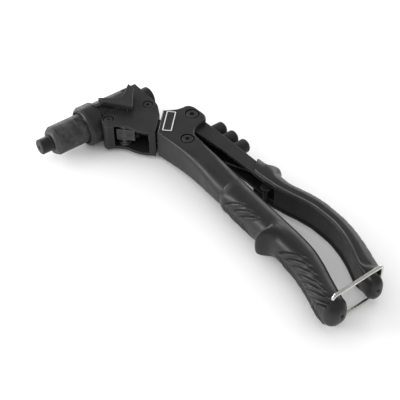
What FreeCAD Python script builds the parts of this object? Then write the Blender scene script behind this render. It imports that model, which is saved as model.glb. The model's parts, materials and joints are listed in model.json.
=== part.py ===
import FreeCAD, Part
import math
import os

os.makedirs("parts", exist_ok=True)

# A hand riveter with a swivelling head, in millimetres.
# The origin is the centre of the nosepiece mouth. +X runs rearwards along the nose,
# the handles hang towards -Y, and +Z is square to the flat side the tool lies on.
# The head turns about the swivel axis, which leaves the nose axis at 45 degrees.
# Pieces on that axis are built in swivel axes: "along" it, "off" it to the side, and z.

V = FreeCAD.Vector
UP = V(0, 0, 1)

# ---------------------------------------------------------------- driving dimensions

FIT = 0.05                 # radial gap between pieces that are screwed or slid together
RUN = 0.05                 # radial gap of a running bearing
TOUCH = 0.15               # gap left where one piece rolls or pushes on another
ROOM = 60.0                # reach of a cutting tool past the edge of a piece

# Nose, along X
NOSE_HEAD_END = 11.0       # back of the nosepiece head
NOSE_SHANK_END = 21.5
NOSE_RADIUS = 6.8
NOSE_SHANK_RADIUS = 5.0
MANDREL_RADIUS = 1.55      # bore that takes the rivet's mandrel
SLEEVE_RADIUS = 13.0
SLEEVE_END = 43.2          # shoulder that clamps the seal
SLEEVE_TAIL_END = 56.0
SLEEVE_TAIL_RADIUS = 12.4
CHAMBER_START = 23.0
CHAMBER_RADIUS = 9.6
FLATS_START, FLATS_END = 35.0, 43.2
FLATS_HALF_WIDTH = 12.0
COLLAR_START, COLLAR_END = 45.2, 57.8
COLLAR_LIP = 42.4          # the collar's rim reaches forward over the seal
COLLAR_LIP_BORE = 13.5
SEAL_ROOM = 14.6
COLLAR_RADIUS = 18.0
SPIGOT_RADIUS = 15.0       # threaded spigot of the housing, inside the collar

# Head
BARREL_RADIUS = 16.0
BARREL_FLAT_START = 88.0   # behind this the barrel is flattened above and below
BARREL_END = 104.4
BARREL_BORE = 11.45
REAR_WALL_START = 102.9
HEAD_HALF = 14.0           # half the head's thickness
PLATE = 3.0                # cheek plate thickness
WEB_HALF = HEAD_HALF - PLATE
CAP_RADIUS = 9.6
CAP_END = 114.5
CAP_PLUG_RADIUS = 8.4
CAP_BORE = 7.0
CAP_FLOOR = 112.5
EXIT_RADIUS = 2.6          # spent mandrels leave through the cap
CHEEK_SCREW = (59.0, -18.6)
CRANK_PIVOT = (97.1, -22.5)
CRANK_PIN_RADIUS = 2.5
CHEEK_SCREW_RADIUS = 1.8
CHEEK_COUNTERBORE, CHEEK_HEAD = 4.9, 4.1
LATCH_X, LATCH_Z = 80.0, 16.2      # the latch's hinge pin, along Y
LATCH_PIN_RADIUS = 1.0
LATCH_LOW, LATCH_HIGH = 16.8, 20.6
LATCH_LUGS = (-19.6, -12.6)        # lower Y of each hinge lug
LUG_RADIUS, LUG_WIDTH = 1.9, 2.2

# Swivel, in swivel axes
SWIVEL_ORIGIN = 23.65      # the swivel axis meets the line x = y here
FLANGE_START, FLANGE_FACE = 91.5, 96.9
BODY_FACE = 98.9
SPINDLE_START, SPINDLE_END = 88.9, 111.0
SPINDLE_RADIUS = 8.0
SPINDLE_THREAD = 7.0
ROD_RADIUS = 4.0
DETENT_REACH = 13.0        # detent ball to the swivel axis
DETENT_RADIUS = 1.5
CRANK_ALONG, CRANK_OFF = 84.57, 19.30
TOE_REACH = 20.0           # crank pivot to toe
TOE_RADIUS = 4.0
TOE_LEAN = 19.2            # degrees the toe arm leans when the handles are closed
HORN_REACH = 22.5          # crank pivot to the horn that draws the carrier
HORN_RADIUS = 3.5
HORN_LEAN = 2.5

# Body and handles
BODY_HALF = 13.5
LEVER_HALF = 9.0
CHANNEL_HALF = 6.0
WALL = 3.0                 # sheet of the moving lever
FULCRUM = (120.7, -55.4)
SPRING_POST = (98.4, -78.8)
FULCRUM_ALONG, FULCRUM_OFF = 124.5, 12.73
CAM_LEAN = 12.5            # degrees the cam arm leans when the handles are closed
CAM_RADIUS = 5.0
CAM_PIN_RADIUS = 2.0
FORK_HALF = 4.2            # half the slot the roller runs in
FULCRUM_RADIUS, FULCRUM_HEAD, FULCRUM_SINK = 4.0, 5.3, 6.6
SPRING_POST_RADIUS, SPRING_POST_HEAD, SPRING_POST_SINK = 3.0, 4.9, 6.2
SINK = 2.4                 # depth the two bolt heads are let into the body
HUB_RADIUS = 8.6
SPRING_TIP = (126.0, -134.5)
BAIL_PIVOT = (78.1, -279.4)
BAIL_REACH = 48.4
BAIL_HALF = 16.0
WIRE = 1.5                 # bail wire radius
STORED_Y = (-74.0, -88.6, -103.2)
POCKET_START = 113.5
GRIP_RIVET = (119.4, -157.0)
GRIP_FRONT = [(118.0, -142.6), (132.6, -129.6)]    # slanted front edge of the moving grip
TANG_HALF = 7.0
FIXED_TANG = [(96.5, -120), (95.3, -160), (94.8, -195), (94.4, -218), (92.0, -236), (87.5, -256)]
LEVER_INNER = [
    (110.6, -68.0), (112.6, -79.0), (116.6, -104.0), (118.8, -130.0), (120.4, -158.0), (124.4, -178.0),
    (130.0, -196.0), (131.8, -214.0), (130.2, -234.0), (126.6, -250.0), (121.6, -262.0),
]
LEVER_BACK = [
    (126.8, -66.0), (127.8, -80.0), (129.2, -104.0), (130.2, -130.0), (131.2, -158.0), (135.0, -176.0),
    (139.4, -192.0), (141.0, -212.0), (139.0, -232.0), (134.4, -250.0), (129.0, -264.0),
]

CAM_CENTRE = (
    FULCRUM_ALONG - FULCRUM_OFF * math.sin(math.radians(CAM_LEAN)),
    FULCRUM_OFF - FULCRUM_OFF * math.cos(math.radians(CAM_LEAN)),
)
TOE_CENTRE = (
    CRANK_ALONG - TOE_REACH * math.sin(math.radians(TOE_LEAN)),
    CRANK_OFF - TOE_REACH * math.cos(math.radians(TOE_LEAN)),
)
HORN_CENTRE = (
    CRANK_PIVOT[0] - HORN_REACH * math.sin(math.radians(HORN_LEAN)),
    CRANK_PIVOT[1] + HORN_REACH * math.cos(math.radians(HORN_LEAN)),
)
ROD_START = TOE_CENTRE[0] + TOE_RADIUS + TOUCH
ROD_END = CAM_CENTRE[0] - CAM_RADIUS - TOUCH


# ---------------------------------------------------------------- shape helpers

def rod(start, end, radius):
    """A round bar between two points."""
    a, b = V(*start), V(*end)
    return Part.makeCylinder(radius, (b - a).Length, a, b - a)


def post(place, radius, low, high):
    """A round bar along Z at an (x, y) place."""
    return rod((place[0], place[1], low), (place[0], place[1], high), radius)


def turned(profile):
    """A solid of revolution about X, from (x, radius) points."""
    points = [V(x, r, 0) for x, r in profile]
    face = Part.Face(Part.makePolygon(points + points[:1]))
    return face.revolve(V(0, 0, 0), V(1, 0, 0), 360)


def ring(start, end, inner, outer):
    """A plain ring about X."""
    return turned([(start, inner), (start, outer), (end, outer), (end, inner)])


def prism(outline, low, high):
    """A closed outline in XY, straight between points, from low to high in Z."""
    points = [V(x, y, low) for x, y in outline]
    face = Part.Face(Part.makePolygon(points + points[:1]))
    return face.extrude(V(0, 0, high - low))


def curved_prism(outline, low, high):
    """An outline in XY, smooth through its points, from low to high in Z. It has sharp
    corners where a point is given as (x, y, True)."""
    corners = [i for i, p in enumerate(outline) if len(p) > 2]
    order = outline[corners[0]:] + outline[:corners[0] + 1]
    edges, run = [], [order[0]]
    for point in order[1:]:
        run.append(point)
        if len(point) > 2:
            vectors = [V(p[0], p[1], low) for p in run]
            if len(vectors) == 2:
                edges.append(Part.makeLine(*vectors))
            else:
                curve = Part.BSplineCurve()
                curve.interpolate(vectors)
                edges.append(curve.toShape())
            run = [point]
    return Part.Face(Part.Wire(edges)).extrude(V(0, 0, high - low))


def softened(shape, radius, level, beyond_y=-1000.0):
    """Round the edges that lie at a height, apart from those below a given y."""
    near = 0.01
    edges = []
    for edge in shape.Edges:
        box = edge.BoundBox
        if abs(box.ZMin - level) < near and abs(box.ZMax - level) < near and box.YMax > beyond_y:
            edges.append(edge)
    return shape.makeFillet(radius, edges)


def on_swivel(shape):
    """Move a shape built in swivel axes (along, off, z) to its place."""
    shape = shape.copy()
    shape.rotate(V(0, 0, 0), UP, -45)
    shape.translate(V(SWIVEL_ORIGIN, SWIVEL_ORIGIN, 0))
    return shape


def swivel_place(along, off):
    """The (x, y) place of a point given in swivel axes."""
    half = math.sqrt(0.5)
    return SWIVEL_ORIGIN + (along + off) * half, SWIVEL_ORIGIN + (off - along) * half


def capsule(a, b, radius_a, radius_b, low, high):
    """A flat link with round ends between two (x, y) places."""
    dx, dy = b[0] - a[0], b[1] - a[1]
    length = math.hypot(dx, dy)
    lean = math.acos((radius_a - radius_b) / length)
    heading = math.atan2(dy, dx)

    def rim(centre, radius, angle):
        return centre[0] + radius * math.cos(angle), centre[1] + radius * math.sin(angle)

    bar = prism([
        rim(a, radius_a, heading + lean),
        rim(b, radius_b, heading + lean),
        rim(b, radius_b, heading - lean),
        rim(a, radius_a, heading - lean),
    ], low, high)
    return bar.fuse([post(a, radius_a, low, high), post(b, radius_b, low, high)]).removeSplitter()


def oval_section(y, left, right, half, left_corner, right_corner):
    """A rounded wire in the plane square to Y, its corners softer on one side."""
    bl, br = left_corner, right_corner

    def arc(cx, cz, r, a0, a1, a2):
        return Part.Arc(*[
            V(cx + r * math.cos(math.radians(a)), y, cz + r * math.sin(math.radians(a)))
            for a in (a0, a1, a2)
        ]).toShape()

    def line(p, q):
        return Part.makeLine(V(p[0], y, p[1]), V(q[0], y, q[1]))

    return Part.Wire([
        line((right, -half + br), (right, half - br)),
        arc(right - br, half - br, br, 0, 45, 90),
        line((right - br, half), (left + bl, half)),
        arc(left + bl, half - bl, bl, 90, 135, 180),
        line((left, half - bl), (left, -half + bl)),
        arc(left + bl, -half + bl, bl, 180, 225, 270),
        line((left + bl, -half), (right - br, -half)),
        arc(right - br, -half + br, br, 270, 315, 360),
    ])


def lofted(sections):
    """A smooth solid through rows of (y, left, right, half, left corner, right corner)."""
    return Part.makeLoft([oval_section(*row) for row in sections], True, False, False, 3)


def coil(radius, wire, pitch, height):
    """A helical spring along +Z from z = 0, its wire centre at the radius."""
    helix = Part.makeHelix(pitch, height, radius)
    circle = Part.Wire(Part.makeCircle(wire, V(radius, 0, 0), V(0, radius, pitch / math.tau)))
    return Part.Wire(helix.Edges).makePipeShell([circle], True, True)


def along_x(shape, x):
    """Turn a shape built along +Z so it runs along +X from x."""
    shape = shape.copy()
    shape.rotate(V(0, 0, 0), V(0, 1, 0), 90)
    shape.translate(V(x, 0, 0))
    return shape


def screw(place, head_radius, shank_radius, top, head_height, bottom, socket):
    """A socket screw along Z, its head at the top."""
    bevel = 0.6
    body = post(place, head_radius, top - head_height, top - bevel)
    body = body.fuse([
        Part.makeCone(head_radius, head_radius - bevel, bevel, V(place[0], place[1], top - bevel)),
        post(place, shank_radius, bottom, top - head_height + 0.01),
    ])
    sides = [
        (place[0] + socket * math.cos(a), place[1] + socket * math.sin(a))
        for a in [math.radians(60 * i) for i in range(6)]
    ]
    recess = prism(sides, top - head_height * 0.7, top + 1)
    return body.cut(recess).removeSplitter()


def bent_wire(points, radius, bend):
    """A round wire through the points, with rounded bends."""
    vectors = [V(*p) for p in points]
    edges, start = [], vectors[0]
    for before, corner, after in zip(vectors, vectors[1:], vectors[2:]):
        into = (corner - before).normalize()
        out = (after - corner).normalize()
        enter, leave = corner - into * bend, corner + out * bend
        centre = corner + (out - into) * bend
        middle = centre + (corner - centre).normalize() * bend
        edges += [Part.makeLine(start, enter), Part.Arc(enter, middle, leave).toShape()]
        start = leave
    edges.append(Part.makeLine(start, vectors[-1]))
    circle = Part.Wire(Part.makeCircle(radius, vectors[0], vectors[1] - vectors[0]))
    return Part.Wire(edges).makePipeShell([circle], True, True)


# ---------------------------------------------------------------- nose

def nosepiece_shape(bore):
    """A nosepiece with its mouth at x = 0 and its thread behind the head."""
    return turned([
        (0, bore),
        (0, NOSE_RADIUS - 0.7),
        (0.7, NOSE_RADIUS),
        (NOSE_HEAD_END, NOSE_RADIUS),
        (NOSE_HEAD_END, NOSE_SHANK_RADIUS),
        (NOSE_SHANK_END, NOSE_SHANK_RADIUS),
        (NOSE_SHANK_END + 1, NOSE_SHANK_RADIUS - 1),
        (NOSE_SHANK_END + 1, bore),
    ])


def front_sleeve():
    body = turned([
        (NOSE_HEAD_END, NOSE_SHANK_RADIUS + FIT),
        (NOSE_HEAD_END, 10.2),
        (NOSE_HEAD_END + 1.2, 11.4),
        (NOSE_HEAD_END + 3.6, SLEEVE_RADIUS),
        (SLEEVE_END, SLEEVE_RADIUS),
        (SLEEVE_END, SLEEVE_TAIL_RADIUS),
        (SLEEVE_TAIL_END, SLEEVE_TAIL_RADIUS),
        (SLEEVE_TAIL_END, CHAMBER_RADIUS),
        (CHAMBER_START, CHAMBER_RADIUS),
        (CHAMBER_START, NOSE_SHANK_RADIUS + FIT),
    ])
    for side in (-1, 1):
        flat = Part.makeBox(FLATS_END - FLATS_START, ROOM, ROOM, V(FLATS_START, -ROOM / 2, 0))
        flat.translate(V(0, 0, FLATS_HALF_WIDTH if side > 0 else -FLATS_HALF_WIDTH - ROOM))
        flat.rotate(V(0, 0, 0), V(1, 0, 0), 20)
        body = body.cut(flat)
    return body


def sleeve_seal():
    thick = 1.0
    middle = (SLEEVE_END + COLLAR_START) / 2
    return Part.makeTorus(SLEEVE_TAIL_RADIUS + thick + FIT, thick - FIT, V(middle, 0, 0), V(1, 0, 0))


def lock_collar():
    body = turned([
        (COLLAR_LIP, COLLAR_LIP_BORE),
        (COLLAR_LIP, COLLAR_RADIUS - 2.4),
        (COLLAR_LIP + 0.8, COLLAR_RADIUS - 1.2),
        (COLLAR_LIP + 3.0, COLLAR_RADIUS),
        (COLLAR_END - 1.6, COLLAR_RADIUS),
        (COLLAR_END, COLLAR_RADIUS - 1.2),
        (COLLAR_END, SPIGOT_RADIUS + FIT),
        (COLLAR_START - 0.1, SPIGOT_RADIUS + FIT),
        (COLLAR_START - 0.1, SEAL_ROOM),
        (COLLAR_LIP + 0.8, SEAL_ROOM),
        (COLLAR_LIP + 0.8, COLLAR_LIP_BORE),
    ])
    nose_notch = Part.makeBox(2.2, 5.2, 6, V(COLLAR_END - 1.9, -3.4, COLLAR_RADIUS - 2.5))
    return body.cut(nose_notch)


def jaw_case():
    return turned([
        (30.0, 3.2),
        (30.0, 7.6),
        (31.8, 9.45),
        (52.0, 9.45),
        (52.0, 6.0 + FIT),
        (45.0, 6.0 + FIT),
        (44.0, 7.0),
    ])


def gripping_jaws():
    """Three jaws, cut from one cone with a round grip down the middle."""
    cone = turned([(31.5, 0.8), (31.5, 3.25), (43.0, 6.45), (43.0, 0.8)])
    gap = 0.25
    for angle in (0, 120, 240):
        blade = Part.makeBox(20, ROOM, 2 * gap, V(28, 0, -gap))
        blade.rotate(V(0, 0, 0), V(1, 0, 0), angle)
        cone = cone.cut(blade)
    return Part.Compound(cone.Solids)


def jaw_pusher():
    return turned([
        (43.1, 2.2), (43.1, 4.5), (44.0, 5.4), (45.1, 5.4),
        (45.1, 3.0), (52.0, 3.0), (52.0, 2.2),
    ])


def jaw_spring():
    return along_x(coil(3.95, 0.5, 1.55, 6.2), 47.0)


def jaw_carrier():
    """The bar that draws the jaws, with the cross slot the crank's horn works in."""
    front, seat, shoulder, rear = 45.2, 54.0, 84.0, REAR_WALL_START - 0.1
    body = turned([
        (front, 4.7),
        (front, 6.0),
        (shoulder, 6.0),
        (shoulder, BARREL_BORE - RUN),
        (rear, BARREL_BORE - RUN),
        (rear, 2.3),
        (seat, 2.3),
        (seat, 4.7),
    ])
    slot_front = HORN_CENTRE[0] - HORN_RADIUS - TOUCH
    slot_back = HORN_CENTRE[0] + HORN_RADIUS + TOUCH
    slot = prism([
        (slot_front, 4.6),
        (slot_back, 4.6),
        (slot_back, -4.0),
        (slot_back + 4.4, -12.0),
        (slot_front, -12.0),
    ], -4.4, 4.4)
    return body.cut(slot)


# ---------------------------------------------------------------- head

def cheek_outline():
    """The cheek plates' outline; the S-shaped front edge faces the window."""
    flat_low = swivel_place(FLANGE_FACE, -15.2)
    flat_high = swivel_place(FLANGE_FACE, 8.5)
    return [
        (72.0, -9.2, True), (59.6, -11.2, True), (54.3, -15.3), (52.1, -19.6), (53.9, -24.4, True),
        (60.5, -28.0), (65.4, -33.4), (69.4, -42.2), (75.2, -50.2), (flat_low[0], flat_low[1], True),
        (flat_high[0], flat_high[1], True), (102.2, -31.0), (104.3, -23.5), (103.9, -21.0, True),
        (90.0, -10.8, True),
    ]


def collar_room():
    """The space kept free around the collar."""
    return rod((0, 0, 0), (COLLAR_END + 0.3, 0, 0), COLLAR_RADIUS + 0.3)


def cheek_plate(low, high, screw_top):
    outer_face = high if screw_top else low
    body = softened(curved_prism(cheek_outline(), low, high), 0.5, outer_face).cut(collar_room())
    holes = [
        post(CRANK_PIVOT, CRANK_PIN_RADIUS + RUN, -ROOM, ROOM),
        post(CHEEK_SCREW, CHEEK_SCREW_RADIUS + FIT, -ROOM, ROOM),
    ]
    if screw_top:
        for place in (CHEEK_SCREW, CRANK_PIVOT):
            holes.append(post(place, CHEEK_COUNTERBORE, high - 2.0, ROOM))
        for y in LATCH_LUGS:
            lug = rod((LATCH_X, y, LATCH_Z), (LATCH_X, y + LUG_WIDTH, LATCH_Z), LUG_RADIUS)
            corner = V(LATCH_X - LUG_RADIUS, y, high - 0.01)
            foot = Part.makeBox(2 * LUG_RADIUS, LUG_WIDTH, LATCH_Z - high + 0.01, corner)
            body = body.fuse([lug, foot])
        holes.append(rod((LATCH_X, -ROOM, LATCH_Z), (LATCH_X, 0, LATCH_Z), LATCH_PIN_RADIUS + FIT))
    return body.cut(holes).removeSplitter()


def head_housing():
    body = turned([
        (COLLAR_START, SLEEVE_TAIL_RADIUS + FIT),
        (COLLAR_START, SPIGOT_RADIUS),
        (COLLAR_END + 0.3, SPIGOT_RADIUS),
        (COLLAR_END + 0.3, BARREL_RADIUS),
        (BARREL_END, BARREL_RADIUS),
        (BARREL_END, CAP_PLUG_RADIUS + FIT),
        (REAR_WALL_START, CAP_PLUG_RADIUS + FIT),
        (REAR_WALL_START, BARREL_BORE),
        (SLEEVE_TAIL_END + 0.2, BARREL_BORE),
        (SLEEVE_TAIL_END + 0.2, SLEEVE_TAIL_RADIUS + FIT),
    ])
    front = body.common(Part.makeBox(BARREL_FLAT_START, ROOM * 2, ROOM * 2, V(0, -ROOM, -ROOM)))
    slab = Part.makeBox(ROOM, ROOM * 2, 2 * HEAD_HALF, V(BARREL_FLAT_START, -ROOM, -HEAD_HALF))
    barrel = body.common(slab)
    # Level shoulders carry the flat of the cheek plates on to the barrel.
    shoulder = [(58.2, -7.0), (BARREL_END, -7.0), (BARREL_END, -24.0), (90.0, -16.0), (58.2, -14.0)]
    shoulders = [
        prism(shoulder, WEB_HALF - FIT, HEAD_HALF).cut(collar_room()),
        prism(shoulder, -HEAD_HALF, -WEB_HALF + FIT).cut(collar_room()),
    ]
    web = curved_prism(cheek_outline(), -WEB_HALF + FIT, WEB_HALF - FIT)
    front_post = web.common(Part.makeBox(58.6, ROOM * 2, ROOM, V(0, -ROOM, -ROOM / 2)))
    boss = post(CHEEK_SCREW, 4.2, -WEB_HALF + FIT, WEB_HALF - FIT)
    flange_corner = V(FLANGE_START, -ROOM / 2, -ROOM / 2)
    flange_room = Part.makeBox(FLANGE_FACE - FLANGE_START, ROOM, ROOM, flange_corner)
    flange = web.common(on_swivel(flange_room))
    back_wall = prism([
        (96.6, -37.9), (99.0, -37.2), (103.7, -26.0), (104.3, -23.0),
        (104.3, -13.0), (102.4, -13.0), (102.4, -25.6),
    ], -WEB_HALF + FIT, WEB_HALF - FIT)
    keep = [barrel, front_post.cut(collar_room()), boss.cut(collar_room()), flange, back_wall] + shoulders
    body = front.fuse(keep).removeSplitter()
    plates = [curved_prism(cheek_outline(), low, low + ROOM) for low in (WEB_HALF, -WEB_HALF - ROOM)]
    cuts = plates + [
        rod((SLEEVE_TAIL_END, 0, 0), (REAR_WALL_START, 0, 0), BARREL_BORE),
        on_swivel(rod((FLANGE_START - 1, 0, 0), (FLANGE_FACE + 1, 0, 0), SPINDLE_RADIUS + RUN)),
        post(CHEEK_SCREW, CHEEK_SCREW_RADIUS + FIT, -ROOM, ROOM),
        post(CRANK_PIVOT, 5.2, -ROOM, ROOM),
        Part.makeBox(REAR_WALL_START - 87.5, 12, 8.8, V(87.5, -20, -4.4)),
    ]
    for angle in (0, 45, 135, 180, 225, 315):
        side, up = math.cos(math.radians(angle)), math.sin(math.radians(angle))
        dimple = Part.makeSphere(1.7, V(FLANGE_FACE + 1.3, DETENT_REACH * side, DETENT_REACH * up))
        cuts.append(on_swivel(dimple))
    return body.cut(cuts)


def rear_cap():
    return turned([
        (REAR_WALL_START + 0.1, CAP_BORE),
        (REAR_WALL_START + 0.1, CAP_PLUG_RADIUS),
        (BARREL_END + FIT, CAP_PLUG_RADIUS),
        (BARREL_END + FIT, CAP_RADIUS),
        (CAP_END - 1.0, CAP_RADIUS),
        (CAP_END, CAP_RADIUS - 1.0),
        (CAP_END, EXIT_RADIUS),
        (CAP_FLOOR, EXIT_RADIUS),
        (CAP_FLOOR, CAP_BORE),
    ])


def return_spring():
    gap = CAP_FLOOR - REAR_WALL_START
    wire = 0.65
    return along_x(coil(5.4, wire, 2.05, gap - 2 * wire - 0.3), REAR_WALL_START + wire + 0.15)


def bell_crank():
    """Toe pushed by the rod, horn that draws the carrier back."""
    low, high = -3.9, 3.9
    toe = swivel_place(*TOE_CENTRE)
    body = capsule(CRANK_PIVOT, toe, 2.3, 2.2, -5.4, 5.4)
    horn = capsule(CRANK_PIVOT, HORN_CENTRE, 2.3, 2.2, low, high)
    body = body.fuse([
        horn,
        post(toe, TOE_RADIUS, -5.4, 5.4),
        post(HORN_CENTRE, HORN_RADIUS, low, high),
        post(CRANK_PIVOT, 5.0, -WEB_HALF + 0.2, WEB_HALF - 0.2),
    ]).removeSplitter()
    return body.cut(post(CRANK_PIVOT, CRANK_PIN_RADIUS + RUN, -ROOM, ROOM))


def crank_stop_block():
    """Fixed block that stops the crank at the end of its stroke."""
    low, high = -4.4, 6.8
    block = Part.makeBox(10.6, 9.4, high - low, V(62, -4.6, low))
    ledge = Part.makeBox(15.6, 4.2, high - low, V(62, -8.8, low))
    body = on_swivel(block.fuse(ledge).removeSplitter())
    foot = swivel_place(68.2, -4.2)
    half = WEB_HALF - FIT
    body = body.fuse([
        post(foot, 3.4, -half, half),
        post(foot, 5.2, -half, -half + 1.9),
        post(foot, 5.2, half - 1.9, half),
    ]).removeSplitter()
    return body.cut(rod((50, 0, 0), (90, 0, 0), BARREL_RADIUS + FIT))


def collar_latch():
    """Rocker: its nose drops into the collar's notch, its tail is the thumb pad."""
    outline = [
        (63.6, 4.2, True), (70.5, -1.0), (76.0, -4.6), (80.2, -5.6), (85.0, -3.8), (90.0, 0.4),
        (95.6, 4.6, True), (95.8, -3.8, True), (89.4, -11.6), (83.2, -20.4), (80.0, -24.0, True),
        (78.6, -21.8, True), (63.6, -2.6, True),
    ]
    body = softened(curved_prism(outline, LATCH_LOW, LATCH_HIGH), 0.6, LATCH_HIGH)
    # Round hollows underneath clear the lugs of the hinge.
    room = 0.3
    for y in LATCH_LUGS:
        ends = (LATCH_X, y - room, LATCH_Z), (LATCH_X, y + LUG_WIDTH + room, LATCH_Z)
        body = body.cut(rod(*ends, LUG_RADIUS + room))
    boss = rod((LATCH_X, -17.2, LATCH_Z), (LATCH_X, -12.8, LATCH_Z), LUG_RADIUS)
    stem_corner = V(LATCH_X - LUG_RADIUS, -17.2, LATCH_Z)
    stem = Part.makeBox(2 * LUG_RADIUS, 4.4, LATCH_LOW - LATCH_Z + 1, stem_corner)
    nose = Part.makeBox(7.2, 3.2, 2.0, V(56.6, -2.4, 16.0))
    riser = Part.makeBox(3.0, 3.2, 1.8, V(61.4, -2.4, 16.8))
    body = body.fuse([boss, stem, nose, riser])
    hole = rod((LATCH_X, -ROOM, LATCH_Z), (LATCH_X, ROOM, LATCH_Z), LATCH_PIN_RADIUS + RUN)
    return body.cut(hole).removeSplitter()


def latch_pin():
    return rod((LATCH_X, -19.9, LATCH_Z), (LATCH_X, -10.1, LATCH_Z), LATCH_PIN_RADIUS)


def latch_spring():
    """Small coil under the thumb pad, standing on the barrel's flat."""
    wire = 0.35
    spring = coil(1.9, wire, 1.05, LATCH_LOW - HEAD_HALF - 2 * wire - 0.1)
    spring.translate(V(91.5, -0.6, HEAD_HALF + wire + FIT))
    return spring


def cheek_screw():
    return screw(CHEEK_SCREW, CHEEK_HEAD, CHEEK_SCREW_RADIUS, HEAD_HALF, 1.95, -HEAD_HALF, 1.6)


def crank_pivot_bolt():
    return screw(CRANK_PIVOT, CHEEK_HEAD, CRANK_PIN_RADIUS, HEAD_HALF, 1.95, -HEAD_HALF, 1.6)


# ---------------------------------------------------------------- swivel

def swivel_spindle():
    body = turned([
        (SPINDLE_START, ROD_RADIUS + RUN),
        (SPINDLE_START, SPINDLE_RADIUS - 0.6),
        (SPINDLE_START + 0.6, SPINDLE_RADIUS),
        (BODY_FACE - FIT, SPINDLE_RADIUS),
        (BODY_FACE - FIT, SPINDLE_THREAD),
        (SPINDLE_END, SPINDLE_THREAD),
        (SPINDLE_END, ROD_RADIUS + RUN),
    ])
    groove = ring(FLANGE_START - 1.5, FLANGE_START - 0.1, SPINDLE_RADIUS - 0.9, SPINDLE_RADIUS + 1)
    return on_swivel(body.cut(groove))


def swivel_circlip():
    clip = ring(FLANGE_START - 1.4, FLANGE_START - 0.2, SPINDLE_RADIUS - 0.85, SPINDLE_RADIUS + 2.2)
    opening = Part.makeBox(4, ROOM, 5, V(FLANGE_START - 3, 0, -2.5))
    return on_swivel(clip.cut(opening))


def swivel_washer():
    return on_swivel(ring(FLANGE_FACE + 0.1, BODY_FACE - 0.1, SPINDLE_RADIUS + FIT, 11.0))


def detent_ball():
    centre = V(FLANGE_FACE + 0.1 + DETENT_RADIUS, -DETENT_REACH, 0)
    return on_swivel(Part.makeSphere(DETENT_RADIUS, centre))


def detent_spring():
    spring = along_x(coil(0.9, 0.3, 1.0, 6.0), FLANGE_FACE + 3.6)
    spring.translate(V(0, -DETENT_REACH, 0))
    return on_swivel(spring)


def push_rod():
    return on_swivel(rod((ROD_START, 0, 0), (ROD_END, 0, 0), ROD_RADIUS))


# ---------------------------------------------------------------- body and fixed handle

def ribbon(path, half_width, half_height):
    """A bar of rectangular section that follows a path in XY."""
    left, right = [], []
    for i, (x, y) in enumerate(path):
        before, after = path[max(i - 1, 0)], path[min(i + 1, len(path) - 1)]
        dx, dy = after[0] - before[0], after[1] - before[1]
        length = math.hypot(dx, dy)
        nx, ny = -dy / length * half_width, dx / length * half_width
        left.append((x + nx, y + ny))
        right.append((x - nx, y - ny))
    return prism(left + right[::-1], -half_height, half_height)


def body_outline():
    face_low = swivel_place(BODY_FACE, -15.2)
    face_high = swivel_place(BODY_FACE, 14.6)
    return [
        (face_low[0], face_low[1], True), (face_high[0], face_high[1], True), (110.4, -40.2),
        (117.8, -42.9), (123.8, -43.6), (126.8, -46.4), (128.4, -54.0), (128.6, -63.0),
        (124.8, -69.0, True), (118.4, -69.4), (112.6, -71.4), (108.4, -75.0), (106.3, -81.0, True),
        (105.8, -92.0, True), (86.6, -92.0, True), (85.6, -78.0), (84.4, -66.0),
    ]


def main_body():
    """Fork-ended casting; its arm runs down to become the core of the fixed handle."""
    top = curved_prism(body_outline(), -BODY_HALF, BODY_HALF)
    for level in (-BODY_HALF, BODY_HALF):
        top = softened(top, 1.2, level, beyond_y=-91.9)
    # The arm takes over below the shoulder, where its edges grow rounder.
    arm_top = -61.5
    taken = [(70.0, arm_top), (92.0, arm_top), (96.0, -93.0), (70.0, -93.0)]
    top = top.cut(prism(taken, -ROOM, ROOM))
    arm = lofted([
        (arm_top + 0.5, 83.3, 104.0, BODY_HALF, 1.2, 1.2),
        (-72.0, 84.8, 105.0, BODY_HALF, 2.2, 1.4),
        (-86.0, 86.1, 106.0, BODY_HALF, 3.6, 2.2),
        (-104.0, 86.4, 107.2, BODY_HALF, 5.8, 4.8),
        (-124.0, 84.9, 108.6, 13.0, 8.4, 8.4),
        (-141.0, 84.2, 108.8, 12.4, 10.0, 10.0),
    ])
    tang = ribbon(FIXED_TANG, TANG_HALF, TANG_HALF)
    body = top.fuse([arm, tang]).removeSplitter()
    pocket_half = LEVER_HALF + 0.1
    pocket_corner = V(POCKET_START, -8.6, -pocket_half)
    lever_pocket = on_swivel(Part.makeBox(ROOM, ROOM, 2 * pocket_half, pocket_corner))
    coil_pocket = post(SPRING_POST, 8.4, -CHANNEL_HALF, CHANNEL_HALF)
    slot = capsule(SPRING_POST, (124.5, -134.0), 7.4, 7.3, -CHANNEL_HALF, CHANNEL_HALF)
    swing = capsule(SPRING_POST, (145.0, -110.0), 7.4, 7.3, -CHANNEL_HALF, CHANNEL_HALF)
    detent_hole = rod(
        (BODY_FACE - 1, -DETENT_REACH, 0), (BODY_FACE + 8.5, -DETENT_REACH, 0), DETENT_RADIUS + RUN)
    cuts = [
        lever_pocket, coil_pocket, slot, swing,
        on_swivel(rod((BODY_FACE - 1, 0, 0), (SPINDLE_END + 0.2, 0, 0), SPINDLE_THREAD + FIT)),
        on_swivel(rod((SPINDLE_END, 0, 0), (POCKET_START + 1, 0, 0), ROD_RADIUS + 0.4)),
        on_swivel(detent_hole),
        post(FULCRUM, FULCRUM_RADIUS + FIT, -ROOM, ROOM),
        post(FULCRUM, FULCRUM_SINK, BODY_HALF - SINK, ROOM),
        post(SPRING_POST, SPRING_POST_RADIUS + FIT, -ROOM, ROOM),
        post(SPRING_POST, SPRING_POST_SINK, BODY_HALF - SINK, ROOM),
    ]
    return body.cut(cuts)


def fulcrum_bolt():
    return screw(FULCRUM, FULCRUM_HEAD, FULCRUM_RADIUS, BODY_HALF, SINK - FIT, -BODY_HALF, 2.6)


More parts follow.
